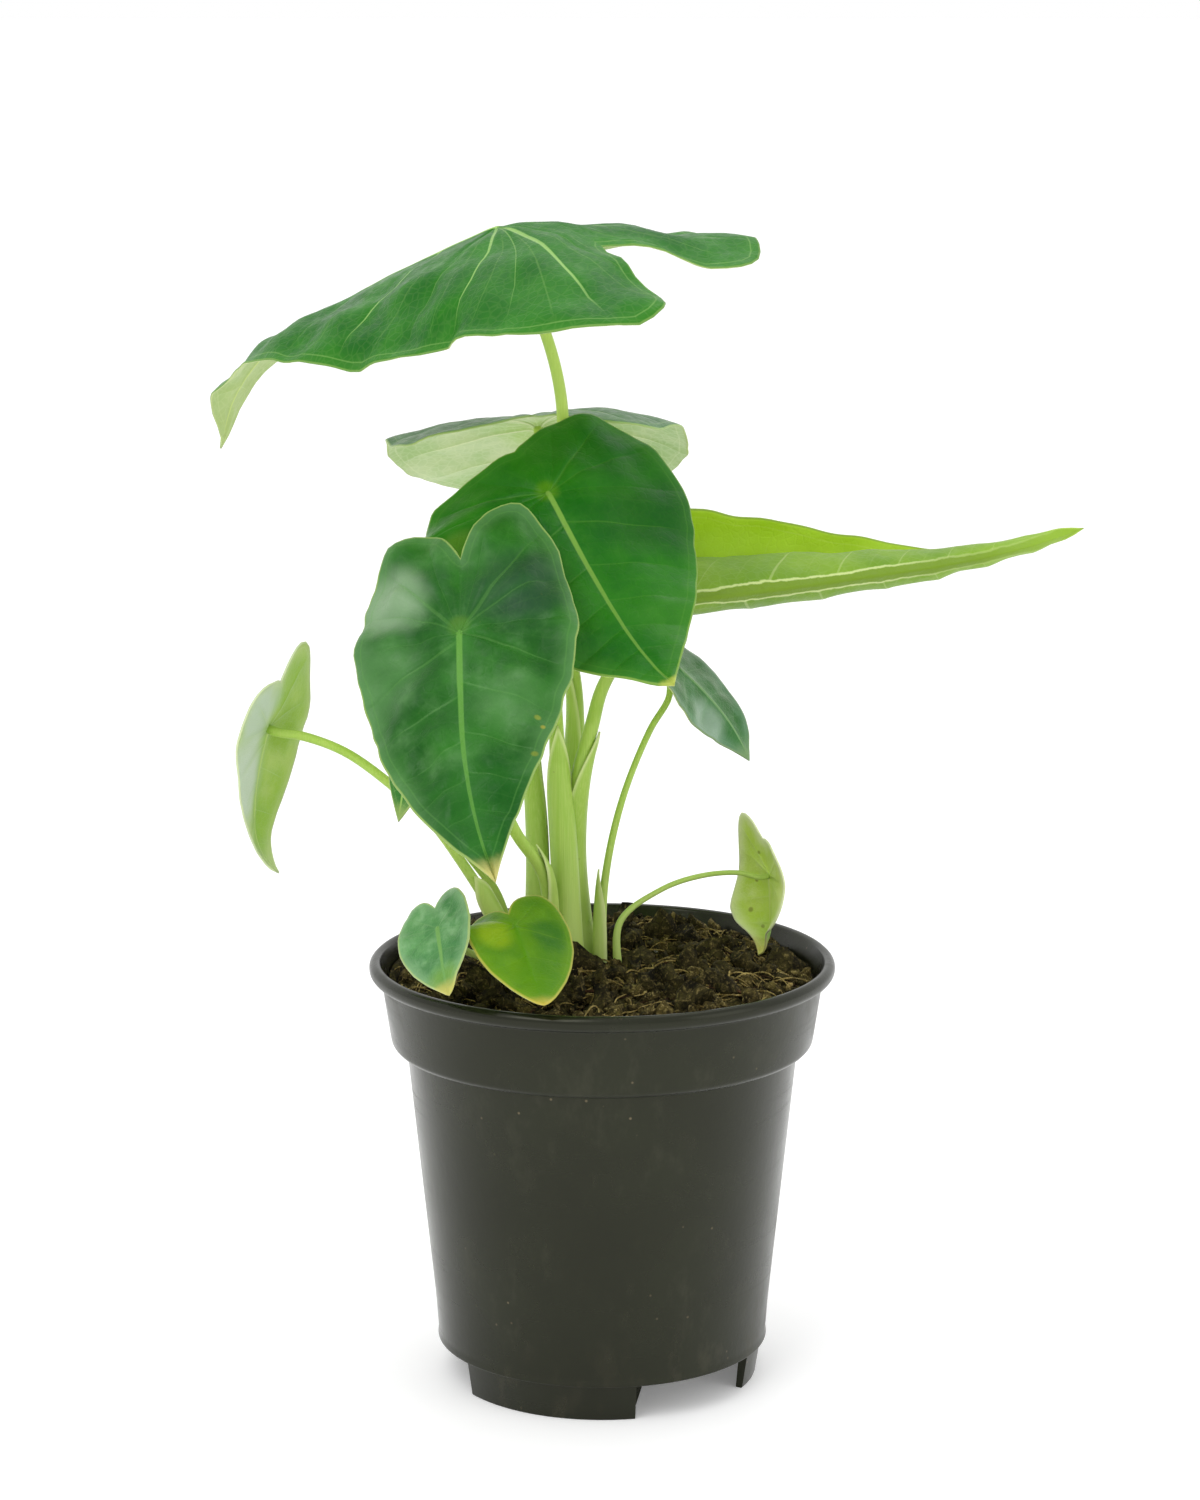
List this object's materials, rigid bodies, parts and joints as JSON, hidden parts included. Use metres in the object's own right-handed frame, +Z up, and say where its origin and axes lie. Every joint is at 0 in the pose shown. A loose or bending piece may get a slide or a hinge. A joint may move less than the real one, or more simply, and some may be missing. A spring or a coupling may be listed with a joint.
{
  "type": "potted frydek alocasia",
  "caption": "Small alocasia with arrow-shaped, pale-veined green leaves on thin stems, growing in peat in a round black nursery pot that stands on short feet.",
  "frame": {"origin": "middle of the base of the object's box, on the surface the pot stands on", "axes": "+Z up, the pot's axis is parallel to it; -Y to the front, where the picture was taken from; +X to the right"},
  "size_m": [0.2266, 0.2028, 0.2983],
  "materials": {
    "pot_plastic": "moulded black plastic, semi-gloss",
    "soil": "moist fibrous peat, matt",
    "rootstock": "fibrous corm, matt",
    "blade_dark": "dark green leaf with a velvet sheen",
    "blade_grey": "grey green leaf with a velvet sheen",
    "blade_pale": "pale green underside of a leaf",
    "blade_lime": "young yellow green leaf, satin",
    "stem": "smooth yellow green stem"
  },
  "bodies": {
    "root": {"pot": "pot_plastic", "soil": "soil", "rootstock": "rootstock", "leaf_top_blade": "blade_dark", "leaf_back_blade": "blade_dark", "leaf_centre_blade": "blade_dark", "leaf_front_blade": "blade_grey", "leaf_dark_blade": "blade_grey", "leaf_hidden_blade": "blade_dark", "leaf_left_blade": "blade_pale", "leaf_rim_left_blade": "blade_grey", "leaf_young_blade": "blade_lime", "leaf_rim_centre_blade": "blade_lime", "leaf_rim_right_blade": "blade_lime", "leaf_top_stem": "stem", "leaf_back_stem": "stem", "leaf_centre_stem": "stem", "leaf_front_stem": "stem", "leaf_young_stem": "stem", "leaf_dark_stem": "stem", "leaf_left_stem": "stem", "leaf_hidden_stem": "stem", "leaf_rim_left_stem": "stem", "leaf_rim_centre_stem": "stem", "leaf_rim_right_stem": "stem"}
  },
  "joints": []
}
